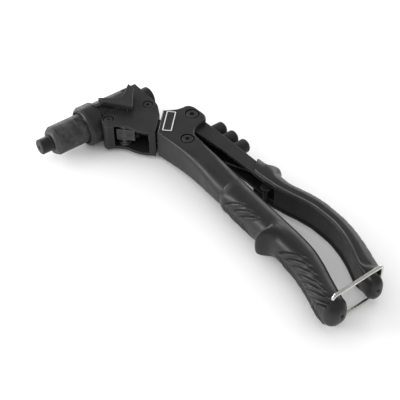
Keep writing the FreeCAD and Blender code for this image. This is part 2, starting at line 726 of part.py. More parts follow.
def spring_post_bolt():
    return screw(
        SPRING_POST, SPRING_POST_HEAD, SPRING_POST_RADIUS, BODY_HALF, SINK - FIT, -BODY_HALF, 2.2)


def handle_spring():
    """Torsion spring on the post; its leg bears on the inside of the moving lever."""
    radius, wire = 4.6, 0.8
    pitch, turns = 1.9, 3.25
    low = -pitch * turns / 2
    spring = coil(radius, wire, pitch, pitch * turns)
    spring.translate(V(SPRING_POST[0], SPRING_POST[1], low))
    start = (SPRING_POST[0] + radius, SPRING_POST[1], low)
    leg = rod(start, (SPRING_TIP[0], SPRING_TIP[1], 0), wire)
    return spring.fuse([leg, Part.makeSphere(wire, V(*start))])


def fixed_grip():
    body = lofted([
        (-141.2, 85.2, 107.0, 12.6, 10.0, 10.0),
        (-146.0, 83.7, 107.7, 13.4, 11.0, 11.0),
        (-170.0, 82.6, 107.0, 13.6, 11.0, 11.0),
        (-192.0, 82.0, 106.0, 13.6, 11.0, 11.0),
        (-199.0, 77.4, 106.0, 14.0, 11.5, 11.5),
        (-205.0, 75.2, 106.0, 14.2, 11.5, 11.5),
        (-209.5, 79.2, 106.0, 13.8, 11.0, 11.0),
        (-216.0, 82.8, 105.8, 13.4, 10.6, 10.6),
        (-232.0, 82.0, 104.2, 13.2, 10.2, 10.2),
        (-247.0, 79.2, 100.2, 12.8, 9.6, 9.6),
        (-260.0, 74.8, 95.8, 12.6, 9.2, 9.2),
        (-272.0, 70.6, 92.0, 12.8, 9.2, 9.2),
        (-280.0, 69.8, 89.2, 12.4, 8.6, 8.6),
        (-286.0, 72.0, 86.8, 9.8, 7.0, 7.0),
        (-289.6, 75.4, 84.0, 5.8, 4.0, 4.0),
    ])
    core = ribbon(FIXED_TANG, TANG_HALF + FIT, TANG_HALF + FIT)
    holes = [post(BAIL_PIVOT, WIRE + RUN, low, low + 10) for low in (7.0, -17.0)]
    return body.cut([core] + holes)


# ---------------------------------------------------------------- moving handle

def lever_outline(inset):
    """The bar part of the moving lever; a negative inset grows it sideways."""
    inner = [(x + inset, y) for x, y in LEVER_INNER[:-1]]
    back = [(x - inset, y) for x, y in LEVER_BACK[:-1]]
    (inner_x, inner_y), (back_x, back_y) = LEVER_INNER[-1], LEVER_BACK[-1]
    ends = [(inner_x + inset, inner_y + inset), (back_x - inset, back_y + inset)]
    return inner + ends + back[::-1]


def moving_lever():
    """Channel with its open side towards the fixed handle, and a fork for the cam roller."""
    bar = prism(lever_outline(0), -LEVER_HALF, LEVER_HALF)
    cam = swivel_place(*CAM_CENTRE)
    hub = post(FULCRUM, HUB_RADIUS, -LEVER_HALF, LEVER_HALF)
    neck_outline = [(112.6, -57.0), (129.0, -57.0), (126.8, -66.1), (127.0, -70.0), (111.0, -70.0)]
    neck = prism(neck_outline, -LEVER_HALF, LEVER_HALF)
    arm = capsule(FULCRUM, cam, HUB_RADIUS, 4.2, -LEVER_HALF, LEVER_HALF)
    body = bar.fuse([hub, neck, arm]).removeSplitter()
    for level in (-LEVER_HALF, LEVER_HALF):
        body = softened(body, 0.8, level)
    hollow_back = [(x - WALL, y) for x, y in LEVER_BACK[1:-1]]
    hollow_inner = [(x - 20, y) for x, y in LEVER_INNER[1:-1]]
    hollow = prism(hollow_inner + hollow_back[::-1], -CHANNEL_HALF, CHANNEL_HALF)
    cuts = [
        hollow,
        post(FULCRUM, FULCRUM_RADIUS + RUN, -ROOM, ROOM),
        post(cam, CAM_RADIUS + 0.8, -FORK_HALF, FORK_HALF),
        post(swivel_place(117.2, 3.0), 6.2, -FORK_HALF, FORK_HALF),
        post(cam, CAM_PIN_RADIUS + FIT, -ROOM, ROOM),
    ]
    cuts += [rod((110, y, 0), (140, y, 0), NOSE_SHANK_RADIUS - 1 + FIT) for y in STORED_Y]
    rivet = post(GRIP_RIVET, 2.4, -LEVER_HALF + 1, 4.0).fuse(post(GRIP_RIVET, 4.4, 3.6, 5.2))
    return body.cut(cuts).fuse(rivet).removeSplitter()


def cam_roller():
    cam = swivel_place(*CAM_CENTRE)
    half = FORK_HALF - 0.1
    return post(cam, CAM_RADIUS, -half, half).cut(post(cam, CAM_PIN_RADIUS + RUN, -ROOM, ROOM))


def cam_pin():
    half = LEVER_HALF - 0.2
    return post(swivel_place(*CAM_CENTRE), CAM_PIN_RADIUS, -half, half)


def stored_nosepiece(y, bore):
    """A spare nosepiece screwed into the back of the lever."""
    seat = 128.2 + (-y - 74.0) * 0.052
    head, shank = 13.4, 8.0
    body = turned([
        (seat - shank, bore),
        (seat - shank, NOSE_SHANK_RADIUS - 1),
        (seat, NOSE_SHANK_RADIUS - 1),
        (seat, 6.2),
        (seat + head - 1.2, 6.2),
        (seat + head, 5.0),
        (seat + head, bore),
    ])
    body.translate(V(0, y, 0))
    return body


def moving_grip():
    body = lofted([
        (-122.0, 117.6, 135.8, 12.4, 3.0, 6.0),
        (-130.0, 117.7, 136.2, 12.4, 3.0, 7.0),
        (-138.0, 117.8, 137.4, 12.4, 3.0, 8.0),
        (-143.0, 118.0, 140.2, 12.6, 3.0, 8.0),
        (-147.5, 118.2, 141.8, 12.8, 3.0, 8.0),
        (-152.0, 118.5, 139.8, 12.8, 3.0, 8.0),
        (-156.0, 118.9, 137.0, 12.8, 3.0, 8.0),
        (-164.0, 119.6, 136.8, 12.8, 3.0, 8.0),
        (-178.0, 122.8, 140.2, 12.8, 3.0, 8.0),
        (-190.0, 126.4, 143.6, 12.8, 3.0, 8.0),
        (-205.0, 129.2, 145.4, 12.8, 3.0, 7.5),
        (-220.0, 129.6, 145.2, 12.8, 3.0, 7.0),
        (-234.0, 127.6, 143.4, 12.8, 3.0, 7.0),
        (-248.0, 123.4, 140.0, 12.6, 3.0, 7.0),
        (-259.0, 118.6, 136.8, 12.4, 3.4, 7.0),
        (-268.0, 115.0, 133.4, 12.4, 4.5, 7.0),
        (-276.0, 112.6, 130.0, 12.4, 6.0, 7.0),
        (-281.0, 112.2, 127.6, 11.8, 6.6, 7.0),
        (-285.0, 113.4, 125.6, 10.0, 5.0, 5.0),
        (-287.8, 116.4, 122.0, 6.4, 2.4, 2.4),
    ])
    # The front edge runs slantwise, from far back at the inner wall to the outer corner.
    (inner_x, inner_y), (outer_x, outer_y) = GRIP_FRONT
    front = prism([
        (inner_x - ROOM, inner_y),
        (inner_x, inner_y),
        (outer_x, outer_y),
        (outer_x + ROOM, outer_y),
        (outer_x + ROOM, outer_y + ROOM),
        (inner_x - ROOM, outer_y + ROOM),
    ], -ROOM, ROOM)
    # The inner wall is open from the front edge to just behind the rivet.
    window_half = LEVER_HALF - 0.5
    window_back = GRIP_RIVET[1] - 8.0
    window = Part.makeBox(
        12.0, ROOM, 2 * window_half, V(GRIP_RIVET[0] - 8.0, window_back, -window_half))
    # Behind a step the end is cut back, so the wire bail rests there and can swing off.
    bail_x, bail_y = BAIL_PIVOT[0] + BAIL_REACH, BAIL_PIVOT[1]
    bail_room = prism([
        (bail_x + ROOM, bail_y + WIRE + 0.25),
        (bail_x - WIRE - 0.3, bail_y + WIRE + 0.25),
        (bail_x - WIRE - 2.1, bail_y - 2.6),
        (bail_x - WIRE - 7.2, bail_y - 9.6),
        (bail_x + ROOM, bail_y - 9.6),
    ], -ROOM, ROOM)
    lever_room = prism(lever_outline(-FIT), -LEVER_HALF - FIT, LEVER_HALF + FIT)
    return body.cut([lever_room, front, window, bail_room])


def wire_bail():
    x, y = BAIL_PIVOT
    far = x + BAIL_REACH
    return bent_wire([
        (x, y, 8.5), (x, y, BAIL_HALF), (far, y, BAIL_HALF),
        (far, y, -BAIL_HALF), (x, y, -BAIL_HALF), (x, y, -8.5),
    ], WIRE, 3.0)


def blank_badge():
    """Blank plate with a raised frame, on the body's flat side."""
    length, width, frame = 25.6, 8.2, 0.9
    thick, frame_height = 0.3, 0.25
    middle = -length / 2 + 0.1
    along, base = 102.5, BODY_HALF + 0.02
    plate = Part.makeBox(width, length, thick + frame_height, V(along, middle, base))
    field_corner = V(along + frame, middle + frame, base + thick)
    field = Part.makeBox(width - 2 * frame, length - 2 * frame, 1, field_corner)
    return on_swivel(plate.cut(field))


NODES = {
    "nosepiece": lambda: nosepiece_shape(MANDREL_RADIUS),
    "front_sleeve": front_sleeve,
    "sleeve_seal": sleeve_seal,
    "lock_collar": lock_collar,
    "jaw_case": jaw_case,
    "gripping_jaws": gripping_jaws,
    "jaw_pusher": jaw_pusher,
    "jaw_spring": jaw_spring,
    "jaw_carrier": jaw_carrier,
    "head_housing": head_housing,
    "cheek_plate_upper": lambda: cheek_plate(WEB_HALF, HEAD_HALF, True),
    "cheek_plate_lower": lambda: cheek_plate(-HEAD_HALF, -WEB_HALF, False),
    "cheek_screw": cheek_screw,
    "crank_pivot_bolt": crank_pivot_bolt,
    "rear_cap": rear_cap,
    "return_spring": return_spring,
    "bell_crank": bell_crank,
    "crank_stop_block": crank_stop_block,
    "collar_latch": collar_latch,
    "latch_pin": latch_pin,
    "latch_spring": latch_spring,
    "swivel_spindle": swivel_spindle,
    "swivel_circlip": swivel_circlip,
    "swivel_washer": swivel_washer,
    "detent_ball": detent_ball,
    "detent_spring": detent_spring,
    "push_rod": push_rod,
    "main_body": main_body,
    "fulcrum_bolt": fulcrum_bolt,
    "spring_post_bolt": spring_post_bolt,
    "handle_spring": handle_spring,
    "fixed_grip": fixed_grip,
    "moving_lever": moving_lever,
    "cam_roller": cam_roller,
    "cam_pin": cam_pin,
    "stored_nosepiece_small": lambda: stored_nosepiece(STORED_Y[0], 1.0),
    "stored_nosepiece_medium": lambda: stored_nosepiece(STORED_Y[1], 1.3),
    "stored_nosepiece_large": lambda: stored_nosepiece(STORED_Y[2], 1.8),
    "moving_grip": moving_grip,
    "wire_bail": wire_bail,
    "blank_badge": blank_badge,
}

for name, build in NODES.items():
    shape = build()
    state = "valid" if shape.isValid() else "NOT VALID"
    print(name, len(shape.Solids), "solids", state, round(shape.Volume))
    shape.exportStep(f"parts/{name}.step")
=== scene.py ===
import json
import math

import bmesh
import bpy
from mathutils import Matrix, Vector


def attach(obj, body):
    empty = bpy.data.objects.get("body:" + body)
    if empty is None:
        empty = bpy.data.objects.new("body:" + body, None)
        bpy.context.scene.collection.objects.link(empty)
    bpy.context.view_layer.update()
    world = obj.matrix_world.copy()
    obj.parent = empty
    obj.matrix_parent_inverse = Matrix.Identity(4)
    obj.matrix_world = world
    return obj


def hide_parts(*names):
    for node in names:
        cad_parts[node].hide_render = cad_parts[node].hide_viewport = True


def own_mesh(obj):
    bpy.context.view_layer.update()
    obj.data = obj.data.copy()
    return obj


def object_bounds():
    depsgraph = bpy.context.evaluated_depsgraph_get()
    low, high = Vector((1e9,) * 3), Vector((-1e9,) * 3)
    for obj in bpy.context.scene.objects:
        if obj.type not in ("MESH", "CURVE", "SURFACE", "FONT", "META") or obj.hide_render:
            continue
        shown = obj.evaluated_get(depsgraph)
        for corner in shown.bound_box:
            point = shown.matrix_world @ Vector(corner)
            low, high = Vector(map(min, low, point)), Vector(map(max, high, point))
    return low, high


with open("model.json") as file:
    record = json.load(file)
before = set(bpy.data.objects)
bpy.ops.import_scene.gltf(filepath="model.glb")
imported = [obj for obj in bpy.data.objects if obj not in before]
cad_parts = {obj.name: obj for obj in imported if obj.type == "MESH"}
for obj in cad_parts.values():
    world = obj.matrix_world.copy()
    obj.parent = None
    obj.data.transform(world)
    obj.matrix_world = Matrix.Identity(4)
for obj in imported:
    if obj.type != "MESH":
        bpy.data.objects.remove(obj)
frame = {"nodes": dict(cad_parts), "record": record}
CAD_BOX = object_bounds()

MM = 0.001

# ---------------------------------------------------------------- camera and light

CAMERA_PLACE = Vector((-0.2546, -0.5629, 0.5395))
CAMERA_TARGET = Vector((0.0811, -0.1190, -0.0170))
CAMERA_LENS = 85.5
SENSOR_WIDTH = 36.0
FLOOR_Z = CAD_BOX[0][2]
FLOOR_HALF = 3.0
FLOOR_WHITE = (0.92, 0.92, 0.92, 1)
LIGHT_TARGET = Vector((0.10, -0.13, 0.0))
WORLD_LIGHT = 1.0           # strength of the surroundings as a light
WORLD_REFLECTED = 0.45      # their strength in reflections
LIGHTS = (
    # name, place, width and height, watts
    ("softbox_left", (-0.60, 0.30, 0.28), (0.5, 0.3), 4.5),
    ("softbox_back", (0.10, 0.85, 0.24), (0.6, 0.2), 4),
    ("softbox_right", (0.85, 0.15, 0.30), (0.5, 0.4), 2),
)


def aim(thing, place, target):
    """Put a camera or light at a place, looking at a target, upright."""
    thing.location = place
    thing.rotation_euler = (target - place).to_track_quat("-Z", "Y").to_euler()


def add_camera():
    """The camera, about 45 degrees above the floor on the nose side."""
    camera = bpy.data.cameras.new("camera")
    camera.lens = CAMERA_LENS
    camera.sensor_width = SENSOR_WIDTH
    thing = bpy.data.objects.new("camera", camera)
    aim(thing, CAMERA_PLACE, CAMERA_TARGET)
    bpy.context.collection.objects.link(thing)
    bpy.context.scene.camera = thing


def add_floor():
    """A wide white floor under the tool."""
    mesh = bpy.data.meshes.new("floor")
    half = FLOOR_HALF
    corners = [(-half, -half), (half, -half), (half, half), (-half, half)]
    mesh.from_pydata([(x, y, FLOOR_Z) for x, y in corners], [], [(0, 1, 2, 3)])
    floor = bpy.data.objects.new("floor", mesh)
    bpy.context.collection.objects.link(floor)
    material = bpy.data.materials.new("floor_white")
    material.use_nodes = True
    shader = material.node_tree.nodes["Principled BSDF"]
    shader.inputs["Base Color"].default_value = FLOOR_WHITE
    shader.inputs["Roughness"].default_value = 0.8
    mesh.materials.append(material)


def add_area_light(name, place, size, power):
    """A rectangular soft box aimed at the middle of the tool."""
    light = bpy.data.lights.new(name, "AREA")
    light.shape = "RECTANGLE"
    light.size, light.size_y = size
    light.energy = power
    thing = bpy.data.objects.new(name, light)
    aim(thing, Vector(place), LIGHT_TARGET)
    bpy.context.collection.objects.link(thing)


def add_world():
    """White surroundings that light the scene fully but reflect dimly, as in a light tent."""
    world = bpy.data.worlds.new("studio")
    world.use_nodes = True
    tree = world.node_tree
    strength = tree.nodes.new("ShaderNodeMapRange")
    strength.inputs["To Min"].default_value = WORLD_LIGHT
    strength.inputs["To Max"].default_value = WORLD_REFLECTED
    path = tree.nodes.new("ShaderNodeLightPath")
    tree.links.new(path.outputs["Is Glossy Ray"], strength.inputs["Value"])
    background = tree.nodes["Background"]
    background.inputs["Color"].default_value = (1, 1, 1, 1)
    tree.links.new(strength.outputs["Result"], background.inputs["Strength"])
    bpy.context.scene.world = world


def add_lights():
    """The white surroundings and the soft boxes, shown without a film curve."""
    add_world()
    for light in LIGHTS:
        add_area_light(*light)
    bpy.context.scene.view_settings.view_transform = "Standard"


# ---------------------------------------------------------------- materials

class Recipe:
    """A small helper that builds one node-based material step by step."""

    def __init__(self, name):
        self.material = bpy.data.materials.new(name)
        self.material.use_nodes = True
        self.tree = self.material.node_tree
        self.shader = self.tree.nodes["Principled BSDF"]
        self.place = self.tree.nodes.new("ShaderNodeTexCoord").outputs["Object"]

    def link(self, source, target):
        """Join an output to an input."""
        self.tree.links.new(source, target)

    def add(self, kind, values=None):
        """A new node with some of its inputs set."""
        node = self.tree.nodes.new(kind)
        for name, amount in (values or {}).items():
            node.inputs[name].default_value = amount
        return node

    def noise(self, scale, detail=4.0, roughness=0.55, place=None):
        """Cloudy noise over the part's own axes, or over the place given."""
        values = {"Scale": scale, "Detail": detail, "Roughness": roughness}
        node = self.add("ShaderNodeTexNoise", values)
        self.link(self.place if place is None else place, node.inputs["Vector"])
        return node.outputs["Fac"]

    def streaks(self, scale, stretch):
        """Noise drawn out along one axis, for turning and brushing marks."""
        mapping = self.add("ShaderNodeMapping", {"Scale": stretch})
        self.link(self.place, mapping.inputs["Vector"])
        return self.noise(scale, detail=3.0, roughness=0.5, place=mapping.outputs["Vector"])

    def ramp(self, value, low, high, at=(0.3, 0.7)):
        """Map the span given by at onto low to high, and hold the ends."""
        values = {"From Min": at[0], "From Max": at[1], "To Min": low, "To Max": high}
        node = self.add("ShaderNodeMapRange", values)
        self.link(value, node.inputs["Value"])
        return node.outputs["Result"]

    def mix(self, factor, dark, light):
        """Blend two colours, each a tuple or the output of another mix."""
        node = self.add("ShaderNodeMix")
        node.data_type = "RGBA"
        colours = [socket for socket in node.inputs if socket.type == "RGBA"]
        self.link(factor, node.inputs["Factor"])
        for colour, socket in zip((dark, light), colours):
            if isinstance(colour, tuple):
                socket.default_value = (*colour, 1)
            else:
                self.link(colour, socket)
        return next(socket for socket in node.outputs if socket.type == "RGBA")

    def rounded_normal(self, radius, samples):
        """The surface normal as if every edge had this radius."""
        bevel = self.add("ShaderNodeBevel", {"Radius": radius})
        bevel.samples = samples
        return bevel.outputs["Normal"]

    def edge(self, radius, strength, at=(0.80, 0.985)):
        """0 on flat stretches, rising to the strength where the surface turns sharply."""
        geometry = self.add("ShaderNodeNewGeometry")
        dot = self.add("ShaderNodeVectorMath")
        dot.operation = "DOT_PRODUCT"
        self.link(self.rounded_normal(radius, samples=4), dot.inputs[0])
        self.link(geometry.outputs["Normal"], dot.inputs[1])
        return self.ramp(dot.outputs["Value"], strength, 0.0, at=at)

    def above(self, height):
        """1 above a height in the part's axes, given in millimetres, and 0 below it."""
        axes = self.add("ShaderNodeSeparateXYZ")
        self.link(self.place, axes.inputs["Vector"])
        edge = 0.02 * MM
        return self.ramp(axes.outputs["Z"], 0.0, 1.0, at=(height * MM - edge, height * MM + edge))

    def multiply(self, a, b):
        """The product of two outputs."""
        node = self.add("ShaderNodeMath")
        node.operation = "MULTIPLY"
        self.link(a, node.inputs[0])
        self.link(b, node.inputs[1])
        return node.outputs[0]

    def colour(self, source):
        self.link(source, self.shader.inputs["Base Color"])

    def roughness(self, source):
        self.link(source, self.shader.inputs["Roughness"])

    def bump(self, height, distance, round_edges=0.0):
        """Fine relief, on edges that look rounded when a radius is given for them."""
        node = self.add("ShaderNodeBump", {"Distance": distance})
        self.link(height, node.inputs["Height"])
        if round_edges:
            self.link(self.rounded_normal(round_edges, samples=6), node.inputs["Normal"])
        self.link(node.outputs["Normal"], self.shader.inputs["Normal"])

    def value(self, name, amount):
        self.shader.inputs[name].default_value = amount


SHEEN = 0.3                 # specular level of the dark finishes


def grey(level):
    """A neutral colour."""
    return level, level, level


def powder_coat(name, level):
    """Satin black coat on cast metal: fine orange peel, lighter on the edges, partly from rubbed
    wear and partly as painted highlight.
    """
    m = Recipe(name)
    patches = m.ramp(m.noise(scale=60.0, detail=3.0), 0.0, 1.0)
    base = m.mix(patches, grey(level * 0.85), grey(level * 1.15))
    edge_patches = m.ramp(m.noise(scale=180.0, detail=5.0), 0.1, 1.0, at=(0.42, 0.62))
    # lighter edges: partly rubbed wear, partly painted highlight along the rounded edges
    edge_wear_and_highlight = m.multiply(m.edge(radius=0.9 * MM, strength=0.55), edge_patches)
    m.colour(m.mix(edge_wear_and_highlight, base, grey(level * 7.0)))
    m.roughness(m.ramp(m.noise(scale=90.0), 0.32, 0.44))
    m.bump(m.noise(scale=1500.0, detail=2.0), distance=0.03 * MM, round_edges=0.35 * MM)
    m.value("Specular IOR Level", SHEEN)
    return m.material


def phosphate(name, level, mottle):
    """Grey phosphate or black oxide: mottled, with turning marks and lighter edges, partly worn and
    partly painted highlight.
    """
    m = Recipe(name)
    patches = m.ramp(m.noise(scale=170.0, detail=6.0, roughness=0.65), 0.0, 1.0, at=(0.35, 0.65))
    base = m.mix(patches, grey(level * (1 - mottle)), grey(level * (1 + mottle)))
    edge_patches = m.ramp(m.noise(scale=260.0, detail=5.0), 0.2, 1.0, at=(0.4, 0.6))
    # lighter edges: partly worn finish, partly painted highlight on the rims
    edge_wear_and_highlight = m.multiply(m.edge(radius=0.8 * MM, strength=1.0, at=(0.90, 0.997)), edge_patches)
    m.colour(m.mix(edge_wear_and_highlight, base, grey(level * 4.5)))
    m.roughness(m.ramp(m.noise(scale=220.0, detail=5.0), 0.4, 0.62))
    turning_marks = m.streaks(scale=700.0, stretch=(1.0, 0.08, 0.08))
    m.bump(turning_marks, distance=0.02 * MM, round_edges=0.3 * MM)
    m.value("Metallic", 0.15)
    m.value("Specular IOR Level", SHEEN)
    return m.material


def bare_steel(name, level):
    """Ground steel with faint stains and grinding lines."""
    m = Recipe(name)
    stain = m.ramp(m.noise(scale=300.0, detail=6.0), 0.0, 1.0)
    m.colour(m.mix(stain, grey(level * 0.75), grey(level)))
    m.roughness(m.ramp(m.noise(scale=400.0), 0.25, 0.42))
    grinding_lines = m.streaks(scale=900.0, stretch=(1.0, 0.1, 0.1))
    m.bump(grinding_lines, distance=0.01 * MM, round_edges=0.15 * MM)
    m.value("Metallic", 1.0)
    return m.material


def nickel_wire(name):
    """Bright drawn wire with a slightly hazy plating."""
    m = Recipe(name)
    haze = m.ramp(m.noise(scale=500.0, detail=5.0), 0.0, 1.0)
    m.colour(m.mix(haze, (0.62, 0.61, 0.58), (0.80, 0.79, 0.77)))
    m.roughness(m.ramp(m.noise(scale=900.0, detail=3.0), 0.16, 0.30))
    m.bump(m.streaks(scale=1200.0, stretch=(0.1, 1.0, 1.0)), distance=0.01 * MM)
    m.value("Metallic", 1.0)
    return m.material


def grip_rubber(name, level):
    """Moulded black grip: soft sheen, fine spark-eroded texture, lighter on the edges, partly from
    rubbing and partly as painted highlight.
    """
    m = Recipe(name)
    patches = m.ramp(m.noise(scale=45.0, detail=4.0), 0.0, 1.0)
    base = m.mix(patches, grey(level * 0.8), grey(level * 1.2))
    # lighter edges: partly rubbed wear, partly painted highlight along the lip and rims
    edge_wear_and_highlight = m.edge(radius=0.8 * MM, strength=0.5, at=(0.85, 0.99))
    m.colour(m.mix(edge_wear_and_highlight, base, grey(level * 5.0)))
    m.roughness(m.ramp(m.noise(scale=130.0, detail=5.0), 0.34, 0.46))
    m.bump(m.noise(scale=2600.0, detail=2.0), distance=0.03 * MM)
    m.value("Specular IOR Level", 0.4)
    return m.material


def seal_rubber(name):
    """Matt black rubber ring."""
    m = Recipe(name)
    m.colour(m.mix(m.ramp(m.noise(scale=300.0), 0.0, 1.0), grey(0.003), grey(0.006)))
    m.roughness(m.ramp(m.noise(scale=500.0), 0.5, 0.65))
    m.bump(m.noise(scale=1800.0), distance=0.02 * MM)
    m.value("Specular IOR Level", 0.15)
    return m.material


BADGE_FIELD = 13.82         # height of the badge's field, in millimetres


def printed_badge(name):
    """A plain blank badge: a white frame standing proud of a black field."""
    m = Recipe(name)
    white = m.mix(m.ramp(m.noise(scale=700.0), 0.0, 1.0), grey(0.50), grey(0.62))
    black = m.mix(m.ramp(m.noise(scale=400.0), 0.0, 1.0), grey(0.010), grey(0.018))
    m.colour(m.mix(m.above(BADGE_FIELD + 0.1), black, white))
    m.roughness(m.ramp(m.noise(scale=300.0), 0.4, 0.55))
    m.bump(m.noise(scale=2000.0), distance=0.01 * MM)
    m.value("Specular IOR Level", SHEEN)
    return m.material


MATERIALS = {
    "satin_black": powder_coat("satin_black", 0.016),
    "dark_steel": phosphate("dark_steel", 0.016, 0.2),
    "phosphated_steel": phosphate("phosphated_steel", 0.044, 0.45),
    "bright_steel": bare_steel("bright_steel", 0.5),
    "oiled_steel": bare_steel("oiled_steel", 0.16),
    "seal_rubber": seal_rubber("seal_rubber"),
    "grip_rubber": grip_rubber("grip_rubber", 0.010),
    "nickel_wire": nickel_wire("nickel_wire"),
    "badge_print": printed_badge("badge_print"),
}

# painted shade: steel pieces in the head's window and between the handles get the darkest finish,
# standing for the shade there
SHADE_DARKENED_NODES = (
    "swivel_spindle", "swivel_circlip", "swivel_washer", "detent_ball", "detent_spring",
    "push_rod", "bell_crank",
)
OILED_NODES = ("handle_spring",)


def paint_cad_nodes():
    """Give every CAD node the material of its slot in the record, but give the steel pieces that
    show through the head's window and between the handles the darkest finish, as painted shade of
    those dark gaps."""
    for row in frame["record"]["subparts"]:
        node = frame["nodes"][row["node"]]
        finish = row["material_slot"]
        # painted shade: these pieces take the darkest finish in place of their own slot
        if row["node"] in SHADE_DARKENED_NODES:
            finish = "dark_steel"
        if row["node"] in OILED_NODES:
            finish = "oiled_steel"
        node.data.materials.clear()
        node.data.materials.append(MATERIALS[finish])


# ---------------------------------------------------------------- mesh helpers

BODY_OF = {}                # the body that each CAD node moves with
for body_name, body_nodes in frame["record"]["behaviour"]["bodies"].items():
    for node_name in body_nodes:
        BODY_OF[node_name] = body_name
SLOT_OF = {row["node"]: row["material_slot"] for row in frame["record"]["subparts"]}
SHARP_ANGLE = math.radians(38)
MERGE_DISTANCE = 1e-7


def smooth_step(value, start, end):
    """0 before start, 1 past end, and a smooth rise between them. end may be below start."""
    t = min(max((value - start) / (end - start), 0.0), 1.0)
    return t * t * (3 - 2 * t)


def bell(distance, width):
    """A smooth bump: 1 at distance 0, fading out over about twice the width."""
    return math.exp(-(distance / width) ** 2)


class Curves:
    """Smooth curves through rows of (position, value, value, ...), without overshoot."""

    def __init__(self, rows):
        self.rows = sorted(rows)
        self.slopes = [self.slope(i) for i in range(len(self.rows))]

    def rise(self, i):
        """The slopes of the straight lines from row i to the next row."""
        a, b = self.rows[i], self.rows[i + 1]
        return [(q - p) / (b[0] - a[0]) for p, q in zip(a[1:], b[1:])]

    def slope(self, i):
        """The slopes of the curves at row i: flat where a value turns back."""
        if i == 0:
            return self.rise(0)
        if i == len(self.rows) - 1:
            return self.rise(i - 1)
        slopes = []
        for before, after in zip(self.rise(i - 1), self.rise(i)):
            slopes.append(2 * before * after / (before + after) if before * after > 0 else 0.0)
        return slopes

    def at(self, position):
        """The values at a position, as a list."""
        i = 0
        while i < len(self.rows) - 2 and position > self.rows[i + 1][0]:
            i += 1
        a, b = self.rows[i], self.rows[i + 1]
        h = b[0] - a[0]
        t = min(max((position - a[0]) / h, 0.0), 1.0)
        values = []
        along = 3 * t ** 2 - 2 * t ** 3
        leaving = h * (t ** 3 - 2 * t ** 2 + t)
        arriving = h * (t ** 3 - t ** 2)
        for p, q, m, n in zip(a[1:], b[1:], self.slopes[i], self.slopes[i + 1]):
            values.append(p * (1 - along) + q * along + m * leaving + n * arriving)
        return values


def rounded(points, radius, steps=5):
    """An open outline with its corners turned into curves of about the given radius."""
    result = [points[0]]
    for before, corner, after in zip(points, points[1:], points[2:]):
        into = (corner[0] - before[0], corner[1] - before[1])
        out = (after[0] - corner[0], after[1] - corner[1])
        length_in, length_out = math.hypot(*into), math.hypot(*out)
        longest = 0.45              # share of a side that one corner may use
        reach = min(radius, length_in * longest, length_out * longest)
        start = (corner[0] - into[0] / length_in * reach, corner[1] - into[1] / length_in * reach)
        end = (corner[0] + out[0] / length_out * reach, corner[1] + out[1] / length_out * reach)
        for i in range(steps + 1):
            t = i / steps
            result.append(tuple(
                (1 - t) ** 2 * a + 2 * t * (1 - t) * b + t ** 2 * c
                for a, b, c in zip(start, corner, end)
            ))
    result.append(points[-1])
    return result


def make_piece(name, points, faces, node):
    """A smooth mesh, given in millimetres, that takes the place of a CAD node."""
    mesh = bpy.data.meshes.new(name)
    mesh.from_pydata([(x * MM, y * MM, z * MM) for x, y, z in points], [], faces)
    work = bmesh.new()
    work.from_mesh(mesh)
    bmesh.ops.remove_doubles(work, verts=work.verts, dist=MERGE_DISTANCE)
    bmesh.ops.recalc_face_normals(work, faces=work.faces)
    work.to_mesh(mesh)
    work.free()
    for face in mesh.polygons:
        face.use_smooth = True
    mesh.set_sharp_from_angle(angle=SHARP_ANGLE)
    mesh.materials.append(MATERIALS[SLOT_OF[node]])
    thing = bpy.data.objects.new(name, mesh)
    bpy.context.collection.objects.link(thing)
    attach(thing, BODY_OF[node])
    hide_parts(node)
    return thing


def skin(rings):
    """Points and faces of a surface through rings that have the same number of points."""
    points = [point for ring in rings for point in ring]
    size = len(rings[0])
    faces = []
    for i in range(len(rings) - 1):
        for k in range(size):
            a, b = i * size + k, i * size + (k + 1) % size
            faces.append((a, b, b + size, a + size))
    return points, faces


def capped(rings):
    """A closed skin; each end is filled with one flat face."""
    points, faces = skin(rings)
    size = len(rings[0])
    last = len(points) - size
    faces.append(tuple(range(size))[::-1])
    faces.append(tuple(range(last, last + size)))
    return points, faces


def lathe(profile, segments=160, trim=None):
    """A closed solid of revolution about X. trim(x, r, angle) may cut the radius down."""
    rings = []
    for x, r in profile:
        ring = []
        for k in range(segments):
            angle = math.tau * k / segments
            reach = trim(x, r, angle) if trim else r
            ring.append((x, reach * math.cos(angle), reach * math.sin(angle)))
        rings.append(ring)
    rings.append(rings[0])
    return skin(rings)


# ---------------------------------------------------------------- nose

MANDREL_RADIUS = 1.55
NOSE_RADIUS, NOSE_HEAD_END = 6.8, 11.0
NOSE_GROOVE, NOSE_GROOVE_DEPTH = (8.6, 9.9), 0.4
NOSE_SHANK_RADIUS, NOSE_SHANK_END = 5.0, 22.5
SLEEVE_RADIUS, SLEEVE_END = 13.0, 43.2
SLEEVE_TAIL_RADIUS, SLEEVE_TAIL_END = 12.4, 56.0
CHAMBER_START, CHAMBER_RADIUS = 23.0, 9.6
FLATS = (35.0, SLEEVE_END)          # where the spanner flats start and end
FLATS_HALF_WIDTH = 12.0
FLATS_TURN = math.radians(20)
COLLAR_LIP, COLLAR_END = 42.4, 57.8
COLLAR_RADIUS, COLLAR_BORE = 18.0, 15.05
SEAL_ROOM = 14.6                    # radius of the open room round the seal
SEAL_WIRE = 0.95
NOTCH_LENGTH, NOTCH_DEPTH = 1.95, 2.5
NOTCH_SIDES = (-3.4, 1.8)


